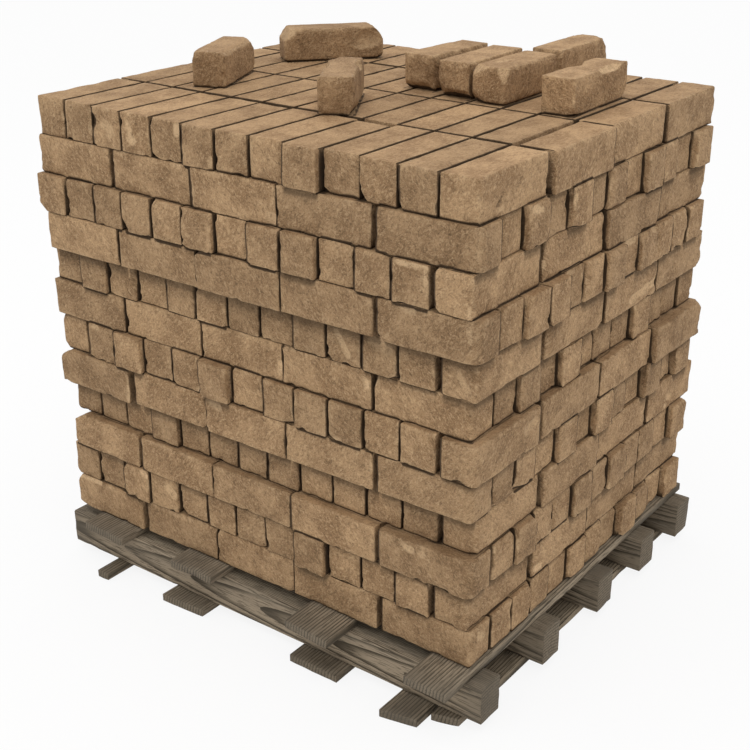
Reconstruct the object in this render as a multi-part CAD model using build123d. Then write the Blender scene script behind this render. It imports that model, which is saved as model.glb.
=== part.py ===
from build123d import *
import os

# A pallet of hand-moulded bricks. Lengths are in millimetres. X runs along the stringers,
# -Y is the front, Z is up, and the origin is on the floor under the middle of the pallet.

# Bricks
BRICK_LENGTH = 229.0
BRICK_WIDTH = 79.5
BRICK_HEIGHT = 84.5
BRICK_CHAMFER = 5.0
# The moulds differ a little: lengthwise courses took the small bricks, crosswise courses the large.
SMALL_BRICK_SHARE = 0.98
LARGE_BRICK_SHARE = 1.04
TIGHT_JOINT = 1.5
OPEN_JOINT = 5.0

# Stack
COURSES = 12
LENGTHWISE_COLUMNS = 5
LENGTHWISE_ROWS = 12
CROSSWISE_COLUMNS = 13
CROSSWISE_ROWS = 4
STACK_OFFSET_X = -11.0
STACK_OFFSET_Y = -3.0

# How far a whole course slides off the stack's middle, to the right and to the front, from the top down.
COURSE_SLIDE = 18.0
RIGHT_SLIDE_SHARES = (0.0, 0.0, -0.2, 0.55, -0.2, -0.7, 0.2, -0.2, -0.4, 0.0, -0.7, -0.2)
FRONT_SLIDE_SHARES = (0.0, 0.55, 0.6, 1.05, -0.8, -0.4, -0.5, 0.0, -1.9, -0.3, -1.1, -0.6)

# How far each brick of the front and right faces stands out, from the top course down.
STAND_OUT = 18.0
FRONT_STAND_SHARES = (
    (0.2, 0.1, 0.3, 0.4, 0.4, 0.6, 0.3, 0.3, 0.9, 0.0, 0.1, 0.3, 0.3),
    (0.3, 0.4, 0.6, 0.3, 0.6),
    (0.5, 0.2, 0.5, 0.5, 0.5, 0.6, 0.0, 0.6, 0.7, 0.0, 0.4, 0.6, 0.4),
    (0.5, 0.4, 0.5, 0.3, 0.4),
    (0.2, 0.8, 0.3, 0.0, 0.3, 0.3, 0.1, 0.1, 0.3, 0.3, 0.5, 0.5, 0.7),
    (0.6, 0.3, 0.2, 0.3, 0.2),
    (0.0, 0.5, 0.8, 0.0, 0.4, 1.0, 0.0, 0.4, 0.5, 0.5, 0.4, 0.5, 0.6),
    (0.6, 0.3, 0.4, 0.3, 0.3),
    (0.2, 0.3, 0.3, 0.9, 0.2, 0.2, 0.4, 0.7, 0.3, 0.4, 0.5, 0.3, 0.3),
    (0.4, 0.3, 0.2, 0.4, 0.6),
    (0.4, 0.2, 0.8, 0.5, 0.0, 0.3, 0.3, 0.3, 1.0, 0.4, 0.3, 0.5, 0.2),
    (0.5, 0.4, 0.3, 0.3, 0.2),
)
RIGHT_STAND_SHARES = (
    (0.0, 0.5, 0.0, 0.1),
    (0.7, 0.0, 0.8, 0.1, 0.9, 0.2, 0.7, 0.1, 1.0, 0.6, 0.0, 1.0),
    (0.2, 0.3, 0.7, 0.2),
    (0.5, 0.2, 0.9, 1.0, 0.0, 0.5, 1.0, 0.0, 0.6, 0.5, 0.3, 0.4),
    (0.5, 0.4, 0.4, 0.4),
    (0.3, 0.2, 0.9, 0.1, 1.0, 0.0, 0.3, 0.2, 1.0, 0.4, 0.4, 0.5),
    (0.4, 0.2, 0.2, 1.0),
    (0.4, 0.3, 0.4, 0.2, 0.9, 0.0, 1.0, 0.4, 0.0, 1.0, 0.0, 1.0),
    (0.3, 0.7, 0.4, 0.5),
    (0.4, 0.3, 0.8, 0.3, 0.2, 0.8, 0.4, 0.9, 0.5, 0.5, 0.1, 1.0),
    (0.2, 0.6, 0.3, 0.2),
    (0.5, 0.4, 0.5, 0.4, 0.1, 0.7, 0.5, 0.0, 1.0, 0.5, 0.0, 1.0),
)
# The back and left faces are turned copies of the front and right, and stand out less.
HIDDEN_STAND_OUT = 8.0

# Loose bricks on top, the thinnest of the load: their places as shares of the top course's half length
# and half depth, their headings in degrees, and their lengths and widths as shares of a brick's.
LOOSE_HEIGHT_SHARE = 0.92
LOOSE_BRICK_SHARES = (
    (-0.637, -0.224, 113.7, 0.94, 0.97),
    (-0.582, 0.497, 51.0, 1.08, 1.00),
    (0.029, -0.333, 122.0, 0.99, 0.97),
    (0.117, 0.326, 88.5, 0.97, 1.03),
    (0.297, 0.285, 91.7, 1.02, 1.01),
    (0.460, 0.260, 91.0, 0.98, 1.04),
    (0.442, 0.795, 91.5, 1.00, 0.99),
    (0.753, 0.268, 91.3, 1.06, 0.95),
)

# Pallet
PALLET_DEPTH = 980.0
STRINGER_LENGTH = 1200.0
STRINGER_WIDTH = 71.0
STRINGER_HEIGHT = 86.0
STRINGER_CHAMFER = 3.0
# Each stringer's place between the front one and the back one.
STRINGER_PLACE_SHARES = (0.0, 0.271, 0.543, 0.780, 1.0)
DECK_THICKNESS = 20.0
DECK_BOARD_WIDTHS = (134.0, 128.0, 122.0, 104.0)
BASE_THICKNESS = 20.0
BASE_BOARD_WIDTHS = (35.0, 122.0, 131.0, 84.0, 59.0)
# The free length left of each board, as a share of the stringer length that the boards leave uncovered.
DECK_GAP_SHARES = (0.126, 0.218, 0.334, 0.271)
BASE_GAP_SHARES = (0.188, 0.215, 0.349, 0.178, 0.010)
# A board is longer than the pallet is deep, and a share of that spare length hangs over the front.
BOARD_SPARE = 96.0
DECK_FRONT_SHARES = (0.47, 0.45, 0.76, 0.79)
BASE_FRONT_SHARES = (0.65, 0.42, 0.47, 0.73, 0.176)
# How much further back the right corner of a board's front end is sawn than the left one.
END_SKEW = 18.0
DECK_SKEW_SHARES = (-0.4, 0.0, -0.5, -0.1)
BASE_SKEW_SHARES = (0.1, 0.4, 0.0, 1.0, 1.0)

STRINGER_BOTTOM = BASE_THICKNESS
DECK_BOTTOM = STRINGER_BOTTOM + STRINGER_HEIGHT
STACK_BOTTOM = DECK_BOTTOM + DECK_THICKNESS
STACK_TOP = STACK_BOTTOM + COURSES * BRICK_HEIGHT
ON_FLOOR = (Align.CENTER, Align.CENTER, Align.MIN)


def beam(length, width, height, arris):
    """A bar along X, standing on its underside, with its four long edges taken off."""
    block = Box(length, width, height, align=ON_FLOOR)
    return chamfer(block.edges().filter_by(Axis.X), length=arris)


def brick(length_share, width_share, height_share=1):
    """One brick along X, from the small moulds, the large ones or one of its own."""
    length = BRICK_LENGTH * length_share
    width = BRICK_WIDTH * width_share
    return beam(length, width, BRICK_HEIGHT * height_share, BRICK_CHAMFER)


class Course:
    """The grid of one course, counted from 1 at the top. Its bricks lie along X or along Y."""

    def __init__(self, number):
        self.number = number
        self.lengthwise = number % 2 == 0
        share = SMALL_BRICK_SHARE if self.lengthwise else LARGE_BRICK_SHARE
        joint = TIGHT_JOINT if self.lengthwise else OPEN_JOINT
        length = BRICK_LENGTH * share
        width = BRICK_WIDTH * share
        self.joint = joint
        self.step_x = (length if self.lengthwise else width) + joint
        self.step_y = (width if self.lengthwise else length) + joint
        self.columns = LENGTHWISE_COLUMNS if self.lengthwise else CROSSWISE_COLUMNS
        self.rows = LENGTHWISE_ROWS if self.lengthwise else CROSSWISE_ROWS
        self.middle_x = STACK_OFFSET_X + RIGHT_SLIDE_SHARES[number - 1] * COURSE_SLIDE
        self.middle_y = STACK_OFFSET_Y - FRONT_SLIDE_SHARES[number - 1] * COURSE_SLIDE
        self.bottom = STACK_TOP - number * BRICK_HEIGHT
        turn = 0 if self.lengthwise else 90
        self.brick = Rot(0, 0, turn) * brick(share, share)

    def place(self, column, row):
        """Where a brick lies, with what it stands out of the face that it is in."""
        front = FRONT_STAND_SHARES[self.number - 1]
        right = RIGHT_STAND_SHARES[self.number - 1]
        x = self.middle_x + (column - (self.columns - 1) / 2) * self.step_x
        y = self.middle_y + (row - (self.rows - 1) / 2) * self.step_y
        if column == self.columns - 1:
            x += right[row] * STAND_OUT
        if column == 0:
            x -= right[-1 - row] * HIDDEN_STAND_OUT
        if row == 0:
            y -= front[column] * STAND_OUT
        if row == self.rows - 1:
            y += front[-1 - column] * HIDDEN_STAND_OUT
        return Pos(x, y, self.bottom)

    def shows(self, column, row):
        """The top and bottom courses show whole, and the others show their outer ring of bricks."""
        inside = 0 < column < self.columns - 1 and 0 < row < self.rows - 1
        return self.number in (1, COURSES) or not inside

    def bricks(self):
        cells = [(column, row) for column in range(self.columns) for row in range(self.rows)]
        return [self.place(*cell) * self.brick for cell in cells if self.shows(*cell)]

    def hidden_block(self):
        """The bricks inside the ring, as one block."""
        length = (self.columns - 2) * self.step_x - self.joint
        depth = (self.rows - 2) * self.step_y - self.joint
        block = Box(length, depth, BRICK_HEIGHT, align=ON_FLOOR)
        return Pos(self.middle_x, self.middle_y, self.bottom) * block


def loose_brick(x_share, y_share, heading, length_share, width_share, top_course):
    half_length = top_course.columns * top_course.step_x / 2
    half_depth = top_course.rows * top_course.step_y / 2
    x = STACK_OFFSET_X + x_share * half_length
    y = STACK_OFFSET_Y + y_share * half_depth
    return Pos(x, y, STACK_TOP) * Rot(0, 0, heading) * brick(length_share, width_share, LOOSE_HEIGHT_SHARE)


def stringer(place_share):
    y = (place_share - 0.5) * (PALLET_DEPTH - STRINGER_WIDTH)
    bar = beam(STRINGER_LENGTH, STRINGER_WIDTH, STRINGER_HEIGHT, STRINGER_CHAMFER)
    return Pos(0, y, STRINGER_BOTTOM) * bar


def board(left, width, front_share, skew, bottom, thickness):
    """A board across the stringers, sawn askew at its front end."""
    right = left + width
    front = -PALLET_DEPTH / 2 - front_share * BOARD_SPARE
    back = front + PALLET_DEPTH + BOARD_SPARE
    corners = [(left, front - skew / 2), (right, front + skew / 2), (right, back), (left, back)]
    return Pos(0, 0, bottom) * extrude(make_face(Polyline(*corners, close=True)), amount=thickness)


def boards(widths, gap_shares, front_shares, skew_shares, bottom, thickness):
    """A layer of boards, from left to right, spread over the stringers' length."""
    uncovered = STRINGER_LENGTH - sum(widths)
    left = -STRINGER_LENGTH / 2
    layer = []
    for width, gap_share, front_share, skew_share in zip(widths, gap_shares, front_shares, skew_shares):
        left += gap_share * uncovered
        layer.append(board(left, width, front_share, skew_share * END_SKEW, bottom, thickness))
        left += width
    return layer


def save(name, *solids):
    export_step(Compound(children=list(solids)), f"parts/{name}.step")


os.makedirs("parts", exist_ok=True)

deck_boards = boards(
    DECK_BOARD_WIDTHS, DECK_GAP_SHARES, DECK_FRONT_SHARES, DECK_SKEW_SHARES, DECK_BOTTOM, DECK_THICKNESS
)
base_boards = boards(
    BASE_BOARD_WIDTHS, BASE_GAP_SHARES, BASE_FRONT_SHARES, BASE_SKEW_SHARES, 0, BASE_THICKNESS
)
for number, share in enumerate(STRINGER_PLACE_SHARES, 1):
    save(f"stringer_{number}", stringer(share))
for number, plank in enumerate(deck_boards, 1):
    save(f"deck_board_{number}", plank)
for number, plank in enumerate(base_boards, 1):
    save(f"base_board_{number}", plank)

courses = [Course(number) for number in range(1, COURSES + 1)]
for course in courses:
    save(f"course_{course.number:02d}", *course.bricks())

# The bricks that show nowhere are one core between the top and bottom courses.
hidden_bricks = courses[1].hidden_block()
for course in courses[2:-1]:
    hidden_bricks += course.hidden_block()
save("hidden_bricks", *hidden_bricks.solids())

for number, shares in enumerate(LOOSE_BRICK_SHARES, 1):
    save(f"loose_brick_{number}", loose_brick(*shares, courses[0]))
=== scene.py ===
# %% [markdown]
# # A pallet of hand-moulded bricks
#
# The real thing is a rough timber pallet with twelve courses of clay bricks on it. Each course lies
# crosswise to the one below, and a few spare bricks lie on top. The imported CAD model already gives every
# brick and plank its place and size. This lesson reads those from the frame and only dresses them, to be as
# worn and as weathered as the real ones.

# %% Load the frame
import math
import random

import bmesh
import bpy
from mathutils import Matrix, Vector, noise
from mathutils.bvhtree import BVHTree


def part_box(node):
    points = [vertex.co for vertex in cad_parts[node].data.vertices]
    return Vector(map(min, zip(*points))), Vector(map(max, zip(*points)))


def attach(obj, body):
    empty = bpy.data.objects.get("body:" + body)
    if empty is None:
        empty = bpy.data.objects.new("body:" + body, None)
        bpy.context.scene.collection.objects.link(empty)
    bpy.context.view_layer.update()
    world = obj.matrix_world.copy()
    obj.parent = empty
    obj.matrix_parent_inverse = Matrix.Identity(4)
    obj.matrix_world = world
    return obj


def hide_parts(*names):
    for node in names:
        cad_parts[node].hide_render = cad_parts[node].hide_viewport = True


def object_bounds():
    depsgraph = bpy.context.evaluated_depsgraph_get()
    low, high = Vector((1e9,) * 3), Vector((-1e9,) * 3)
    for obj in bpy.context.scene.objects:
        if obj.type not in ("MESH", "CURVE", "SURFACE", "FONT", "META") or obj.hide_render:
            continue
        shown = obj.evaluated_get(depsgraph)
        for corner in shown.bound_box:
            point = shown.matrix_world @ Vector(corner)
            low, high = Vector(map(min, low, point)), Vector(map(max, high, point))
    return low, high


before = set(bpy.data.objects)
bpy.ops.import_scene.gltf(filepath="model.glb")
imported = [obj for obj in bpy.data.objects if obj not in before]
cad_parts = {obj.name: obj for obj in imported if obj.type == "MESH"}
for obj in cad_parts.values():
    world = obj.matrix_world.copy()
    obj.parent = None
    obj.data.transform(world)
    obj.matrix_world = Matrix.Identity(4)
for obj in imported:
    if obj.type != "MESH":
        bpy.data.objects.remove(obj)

scene = bpy.context.scene
cad_low, cad_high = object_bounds()
print("frame box in metres:", [round(x, 3) for x in cad_high - cad_low])

# %% [markdown]
# ## Camera
#
# A camera could be aimed by eye, but a load of bricks has so many straight edges that a wrong lens shows at
# once. The place and the lens here come from lining up the edges of the stack and the pallet with the
# photograph. The camera looks down on the near corner, with no roll and no shift.

# %% The camera
CAMERA_PLACE = Vector((1.682, -2.294, 1.721))
CAMERA_AZIMUTH = math.radians(36.74)
CAMERA_ELEVATION = math.radians(23.93)
CAMERA_LENS = 62.2
SENSOR_WIDTH = 36.0


def placed(data, place, direction):
    """A camera or lamp at its place in the scene, looking along a direction."""
    thing = bpy.data.objects.new(data.name, data)
    thing.location = place
    thing.rotation_mode = "QUATERNION"
    thing.rotation_quaternion = direction.to_track_quat("-Z", "Y")
    scene.collection.objects.link(thing)
    return thing


towards_camera = Vector((
    math.sin(CAMERA_AZIMUTH) * math.cos(CAMERA_ELEVATION),
    -math.cos(CAMERA_AZIMUTH) * math.cos(CAMERA_ELEVATION),
    math.sin(CAMERA_ELEVATION),
))
camera = placed(bpy.data.cameras.new("camera"), CAMERA_PLACE, -towards_camera)
camera.data.sensor_width = SENSOR_WIDTH
camera.data.lens = CAMERA_LENS
scene.camera = camera
print("camera distance:", round(CAMERA_PLACE.length, 2), "m")

# %% [markdown]
# ## Making materials from nodes
#
# A node tree built by hand needs many lines for each node. One helper adds a node, sets its options and
# fills or links its inputs, so that a finish below reads like a recipe.

# %% Node helpers
MIX_FACTOR, MIX_FIRST, MIX_SECOND, MIX_RESULT = 0, 6, 7, 2


def fill(tree, node, inputs):
    """Links each input that is given another node's socket, and sets any other to its value."""
    for name, value in inputs.items():
        if isinstance(value, bpy.types.NodeSocket):
            tree.links.new(value, node.inputs[name])
        else:
            node.inputs[name].default_value = value


def add(tree, kind, inputs=None, **options):
    """Adds a node, sets its options and fills its inputs."""
    node = tree.nodes.new(kind)
    for name, value in options.items():
        setattr(node, name, value)
    fill(tree, node, inputs or {})
    return node


def attribute(tree, name, kind="Fac"):
    return add(tree, "ShaderNodeAttribute", attribute_name=name).outputs[kind]


def mix(tree, factor, first, second):
    """The colour between two colours. A mix node's sockets share their names, so they go by place."""
    inputs = {MIX_FACTOR: factor, MIX_FIRST: first, MIX_SECOND: second}
    return add(tree, "ShaderNodeMix", inputs, data_type="RGBA").outputs[MIX_RESULT]


def grain(tree, place, scale, detail=3.0, roughness=0.55, distortion=0.0):
    """A noise pattern with its features about 1 / scale metres wide."""
    return add(tree, "ShaderNodeTexNoise", {
        "Vector": place, "Scale": scale, "Detail": detail, "Roughness": roughness, "Distortion": distortion,
    }).outputs["Fac"]


def between(tree, value, low, high, to_low=0.0, to_high=1.0):
    """Stretches the part of a pattern between low and high, and holds it beyond."""
    inputs = {"Value": value, "From Min": low, "From Max": high, "To Min": to_low, "To Max": to_high}
    return add(tree, "ShaderNodeMapRange", inputs, interpolation_type="SMOOTHSTEP").outputs["Result"]


def times(tree, first, second):
    return add(tree, "ShaderNodeMath", {0: first, 1: second}, operation="MULTIPLY").outputs[0]


def plus(tree, first, second):
    return add(tree, "ShaderNodeMath", {0: first, 1: second}, operation="ADD").outputs[0]


def new_finish(name):
    material = bpy.data.materials.new(name)
    material.use_nodes = True
    return material, material.node_tree, material.node_tree.nodes["Principled BSDF"]


# %% [markdown]
# ## The clay
#
# The bricks are rough clay: a warm tan body with darker and paler patches, sandy specks, small pits, and
# paler clay where it is freshly broken. A pattern on Object coordinates would run on from one brick into the
# next, so each brick carries its own place in the clay as an attribute. Five more attributes say how broken
# a spot is, how much painted shade it gets where it is shut in, in a joint or in a crack, how much painted
# shadow it gets under an overhang, and how hard-fired and how smooth it is, and the shapes below fill them
# in. The upper side of a hand-moulded brick is smooth because the maker strikes the clay off level with a wet
# board.

# %% The clay finish
CLAY_DEEP = (0.262, 0.154, 0.075, 1)
CLAY_MIDDLE = (0.372, 0.228, 0.115, 1)
CLAY_PALE = (0.470, 0.299, 0.158, 1)
CLAY_BROKEN = (0.690, 0.476, 0.274, 1)
# Near-black: the clay's dark specks, and also the colour of all its painted shade and painted shadow.
CLAY_SPECK_AND_SHADE = (0.050, 0.029, 0.014, 1)
STRIKE_STRETCH = (0.30, 1.0, 1.0)
COMB_TURN = (0.35, -0.65, 0.75)
COMB_STRETCH = (3.5, 1.0, 1.0)
LUMP_RELIEF, GRAIN_RELIEF = 0.005, 0.004
# The second and third layers hold painted shade: in shut-in spots, joints and cracks, and under overhangs.
CLAY_LAYERS = ("broken", "painted_shade", "painted_overhang_shadow", "fired", "struck")


def clay_finish():
    material, tree, shader = new_finish("clay")
    place = attribute(tree, "clay_place", "Vector")
    broken, painted_shade, painted_overhang_shadow, fired, struck = (attribute(tree, name) for name in CLAY_LAYERS)
    crumbly = between(tree, struck, 0.0, 1.0, 1.0, 0.45)

    patches = grain(tree, place, 15.0, 3.0, 0.55)
    lumps = grain(tree, place, 45.0, 3.0, 0.6, 0.4)
    flecks = grain(tree, place, 150.0, 3.0, 0.6, 1.4)
    sand = grain(tree, place, 420.0, 2.0, 0.6, 0.6)
    drawn = add(tree, "ShaderNodeMapping", {"Vector": place, "Scale": STRIKE_STRETCH}).outputs["Vector"]
    streaks = grain(tree, drawn, 210.0, 4.0, 0.65)
    combed = add(tree, "ShaderNodeMapping", {
        "Vector": place, "Rotation": COMB_TURN, "Scale": COMB_STRETCH,
    }, vector_type="TEXTURE").outputs["Vector"]
    strokes = grain(tree, combed, 190.0, 2.0, 0.55, 0.8)

    colour = mix(tree, between(tree, patches, 0.34, 0.66), CLAY_DEEP, CLAY_PALE)
    colour = mix(tree, 0.18, colour, CLAY_MIDDLE)
    for pattern, where, *tints in (
        (lumps, 1.0, (CLAY_PALE, 0.54, 0.72, 0.26), (CLAY_DEEP, 0.46, 0.28, 0.26)),
        (streaks, struck, (CLAY_PALE, 0.50, 0.66, 0.66), (CLAY_DEEP, 0.48, 0.32, 0.86)),
        (flecks, crumbly, (CLAY_BROKEN, 0.52, 0.70, 0.38), (CLAY_SPECK_AND_SHADE, 0.46, 0.28, 0.38)),
        (strokes, crumbly, (CLAY_BROKEN, 0.53, 0.66, 0.36), (CLAY_SPECK_AND_SHADE, 0.46, 0.32, 0.34)),
        (sand, 1.0, (CLAY_BROKEN, 0.52, 0.72, 0.34), (CLAY_SPECK_AND_SHADE, 0.47, 0.28, 0.34)),
    ):
        for tint, begins, full, share in tints:
            amount = times(tree, between(tree, pattern, begins, full), times(tree, where, share))
            colour = mix(tree, amount, colour, tint)
    fresh = times(tree, broken, between(tree, flecks, 0.32, 0.56, 0.45, 1.0))
    colour = mix(tree, times(tree, fresh, 0.90), colour, CLAY_BROKEN)
    shade = between(tree, fired, 0.0, 1.0, 0.90, 1.09)
    colour = add(tree, "ShaderNodeHueSaturation", {"Color": colour, "Value": shade}).outputs["Color"]
    # Painted shadow under overhangs darkens the clay towards the near-black clay colour.
    colour = mix(tree, times(tree, between(tree, painted_overhang_shadow, 0.05, 0.85), 0.62), colour, CLAY_SPECK_AND_SHADE)
    # Painted shade: joints, cracks, undersides, hidden sides and shut-in spots are darkened towards the
    # near-black clay colour.
    colour = mix(tree, times(tree, between(tree, painted_shade, 0.25, 0.60), 0.92), colour, CLAY_SPECK_AND_SHADE)

    coarse = add(tree, "ShaderNodeBump", {
        "Height": lumps, "Strength": times(tree, crumbly, 0.6), "Distance": LUMP_RELIEF,
    }).outputs["Normal"]
    fine_height = plus(tree, times(tree, sand, 0.4), plus(tree, times(tree, flecks, 0.7), strokes))
    fine = add(tree, "ShaderNodeBump", {
        "Height": fine_height, "Strength": times(tree, crumbly, 0.95), "Distance": GRAIN_RELIEF,
        "Normal": coarse,
    }).outputs["Normal"]
    fill(tree, shader, {
        "Base Color": colour, "Roughness": between(tree, sand, 0.3, 0.7, 0.82, 0.98),
        "Specular IOR Level": 0.25, "Normal": fine,
    })
    return material


clay = clay_finish()
print("clay has", len(clay.node_tree.nodes), "nodes")

# %% [markdown]
# ## Where each brick lies
#
# A course of the frame holds its bricks as separate solids in one mesh of loose triangles. Merging a copy
# and dissolving its flat edges gives clean blocks, and following the edges from corner to corner tells one
# brick from the next. The longest edge of a block gives its heading.

# %% Read the bricks from the frame
MERGE_DISTANCE = 0.00001
FLAT_ANGLE = math.radians(1)
HEADING_SLACK = 0.01


def merged_copy(node):
    block = bmesh.new()
    block.from_mesh(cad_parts[node].data)
    bmesh.ops.remove_doubles(block, verts=block.verts, dist=MERGE_DISTANCE)
    bmesh.ops.dissolve_limit(block, angle_limit=FLAT_ANGLE, verts=block.verts, edges=block.edges)
    return block


def solids_in(block):
    """The groups of joined corners, one for each solid."""
    seen = set()
    groups = []
    for start in block.verts:
        if start in seen:
            continue
        seen.add(start)
        group = [start]
        for corner in group:
            for edge in corner.link_edges:
                other = edge.other_vert(corner)
                if other not in seen:
                    seen.add(other)
                    group.append(other)
        groups.append(group)
    return groups


def lie_of(corners):
    """How a brick lies, as a matrix from its own axes, and its size along, across and up."""
    edges = [edge for corner in corners for edge in corner.link_edges]
    longest = max(edges, key=lambda edge: edge.calc_length())
    run = longest.verts[1].co - longest.verts[0].co
    heading = math.atan2(run.y, run.x)
    if heading < -HEADING_SLACK or heading > math.pi - HEADING_SLACK:
        heading -= math.copysign(math.pi, heading)
    turn = Matrix.Rotation(heading, 4, "Z")
    turned = [turn.inverted() @ corner.co for corner in corners]
    low = Vector(map(min, *turned))
    high = Vector(map(max, *turned))
    return Matrix.Translation(turn @ ((low + high) / 2)) @ turn, high - low


def bricks_of(node):
    block = merged_copy(node)
    lies = [lie_of(group) for group in solids_in(block)]
    block.free()
    return sorted(lies, key=lambda lie: tuple(round(x, 3) for x in lie[0].translation))


COURSE_NODES = sorted(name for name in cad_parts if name.startswith("course_"))
LOOSE_NODES = sorted(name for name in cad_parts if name.startswith("loose_brick_"))
courses = {node: bricks_of(node) for node in COURSE_NODES}
print("bricks in each course:", [len(lies) for lies in courses.values()])

# %% [markdown]
# ## Shelter
#
# The clay gets painted shade wherever it is shut in: in the joints, under an overhanging course and round
# the foot of a loose brick. An occlusion node could find those places while rendering, but the painted shade
# should stay on the model. So short feelers are sent out from each point against the solids of the frame,
# and the share that hits something says how shut in the point is. A few more go up at slants, and those that
# are stopped by a solid above give a painted shadow under an overhang.

# %% Feel for shelter
FEELERS = 12
FEELER_REACH = 0.007
# Upward feelers at these slants find an overhang above, for its painted shadow.
OVERHANG_FEELER_SLANTS = (math.radians(10), math.radians(25), math.radians(40))
OVERHANG_FEELER_REACH = 0.065
FEELER_START = 0.001
EDGE_SOFTENING = 0.0035
FACING = 0.7

everything = bmesh.new()
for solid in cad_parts.values():
    everything.from_mesh(solid.data)
solids = BVHTree.FromBMesh(everything)
everything.free()

golden_turn = math.pi * (3 - math.sqrt(5))
feelers = []
for number in range(FEELERS):
    share = (number + 0.5) / FEELERS
    spread = math.sqrt(share)
    turn = number * golden_turn
    feelers.append(Vector((spread * math.cos(turn), spread * math.sin(turn), math.sqrt(1 - share))))


def on_sides(co, half):
    """Brings a point on a softened edge out to the sides of the block, so that no feeler starts inside it."""
    return Vector([math.copysign(h, x) if h - abs(x) < EDGE_SOFTENING else x for x, h in zip(co, half)])


def shelter(point, normal):
    """How far a point on a surface is shut in, and how much painted shadow it gets under an overhang, both
    from 0 to 1.
    """
    start = point + normal * FEELER_START
    turn = normal.to_track_quat("Z", "Y")
    shut_in = 0.0
    for feeler in feelers:
        if solids.ray_cast(start, turn @ feeler, FEELER_REACH)[0] is not None:
            shut_in += 1.0 / FEELERS
    # Painted shadow under an overhang: the nearer the solid that stops an upward feeler, the darker the
    # point.
    painted_overhang_shadow = 0.0
    level = Vector((normal.x, normal.y, 0))
    if normal.z < FACING:
        for slant in OVERHANG_FEELER_SLANTS:
            upward_feeler = Vector((0, 0, math.cos(slant))) + level.normalized() * math.sin(slant)
            distance = solids.ray_cast(start, upward_feeler, OVERHANG_FEELER_REACH)[3]
            if distance is not None:
                painted_overhang_shadow += (1.0 - distance / OVERHANG_FEELER_REACH) / len(OVERHANG_FEELER_SLANTS)
    return shut_in, painted_overhang_shadow


triangles = sum(len(solid.data.polygons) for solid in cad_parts.values())
print("the frame's solids have", triangles, "triangles")

# %% [markdown]
# ## A brick out of the mould
#
# A hand mould leaves slightly round arrises, so a block starts as a cube at the brick's size with a bevel on
# its edges. A few loops cut it along, across and up. The sides that show are cut much finer, so that they can
# be chipped, while the sides in the joints stay coarse. A few loops just behind a side that shows let the
# painted shade begin at the true depth on ledges and standing-out flanks. One such block is kept for each
# size and each set of sides that show, and every brick starts as a copy of one.

# %% Mould a plain brick
ARRIS_ROUND = 0.0022
ARRIS_STEPS = 2
COARSE_LOOPS = (8, 3, 3)
FINE_LOOPS = 3
LEDGE_LOOPS = (0.006, 0.011, 0.017, 0.024, 0.032)
SHORTEST_RUN = 0.008
STRAIGHT_SHARE = 0.8
CUT_SNAP = 0.0005
SIDE_MARGIN = ARRIS_ROUND * 1.05


def runs(block, axis):
    """The long edges that run along one axis."""
    found = []
    for edge in block.edges:
        span = edge.verts[1].co - edge.verts[0].co
        if abs(span[axis]) > max(SHORTEST_RUN, STRAIGHT_SHARE * span.length):
            found.append(edge)
    return found


def soften(block, edges, width):
    bmesh.ops.bevel(
        block, geom=edges, offset=width, offset_type="OFFSET", segments=ARRIS_STEPS, profile=0.5,
        affect="EDGES", material=-1,
    )


def cut_loops(block, edges, cuts):
    bmesh.ops.subdivide_edges(block, edges=edges, cuts=cuts, use_grid_fill=True)


def outward_of(axis, sign):
    """The direction that a side of a block faces, on its own axes."""
    outward = Vector((0, 0, 0))
    outward[axis] = sign
    return outward


def moulded_block(size, shows):
    """A plain brick on its own axes. The sides that show are given as signed axes, such as (0, -1)."""
    block = bmesh.new()
    bmesh.ops.create_cube(block, size=1.0)
    bmesh.ops.scale(block, vec=size, verts=block.verts)
    soften(block, block.edges[:], ARRIS_ROUND)
    for axis, cuts in enumerate(COARSE_LOOPS):
        cut_loops(block, runs(block, axis), cuts)
    for axis, sign in shows:
        outward = outward_of(axis, sign)
        for depth in LEDGE_LOOPS if axis != 2 else ():
            geometry = block.verts[:] + block.edges[:] + block.faces[:]
            plane = outward * (size[axis] / 2 - depth)
            bmesh.ops.bisect_plane(block, geom=geometry, dist=CUT_SNAP, plane_co=plane, plane_no=outward)
    shown = set()
    for axis, sign in shows:
        floor_of_side = size[axis] / 2 - SIDE_MARGIN
        for edge in block.edges:
            if all(corner.co[axis] * sign > floor_of_side for corner in edge.verts):
                shown.add(edge)
    long_edges = [edge for edge in block.edges if edge.calc_length() > SHORTEST_RUN]
    cut_loops(block, [edge for edge in long_edges if edge in shown], FINE_LOOPS)
    mesh = bpy.data.meshes.new("moulded_block")
    block.to_mesh(mesh)
    block.free()
    return mesh


moulds = {}


def mould_for(size, shows):
    key = (tuple(round(x, 4) for x in size), tuple(shows))
    if key not in moulds:
        moulds[key] = moulded_block(size, shows)
        print("mould", key, "has", len(moulds[key].polygons), "faces")
    return moulds[key]


# %% [markdown]
# ## Wearing a brick
#
# No two bricks of a load are alike. The clay sags as it dries, so the corners drift and the sides belly out
# between rounded arrises. Lumps and hollows come from the maker's hands, and knocks in handling scoop chips
# out of the arrises and break corners off. The lumps lie about the side that the frame gives the brick, and
# chips take clay away. Most of it happens on the sides that show, so the joints stay tight. A scoop is a
# round bar or a ball that pushes out every point inside it. The clay also notes where it is broken, for the
# finish to show.

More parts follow.
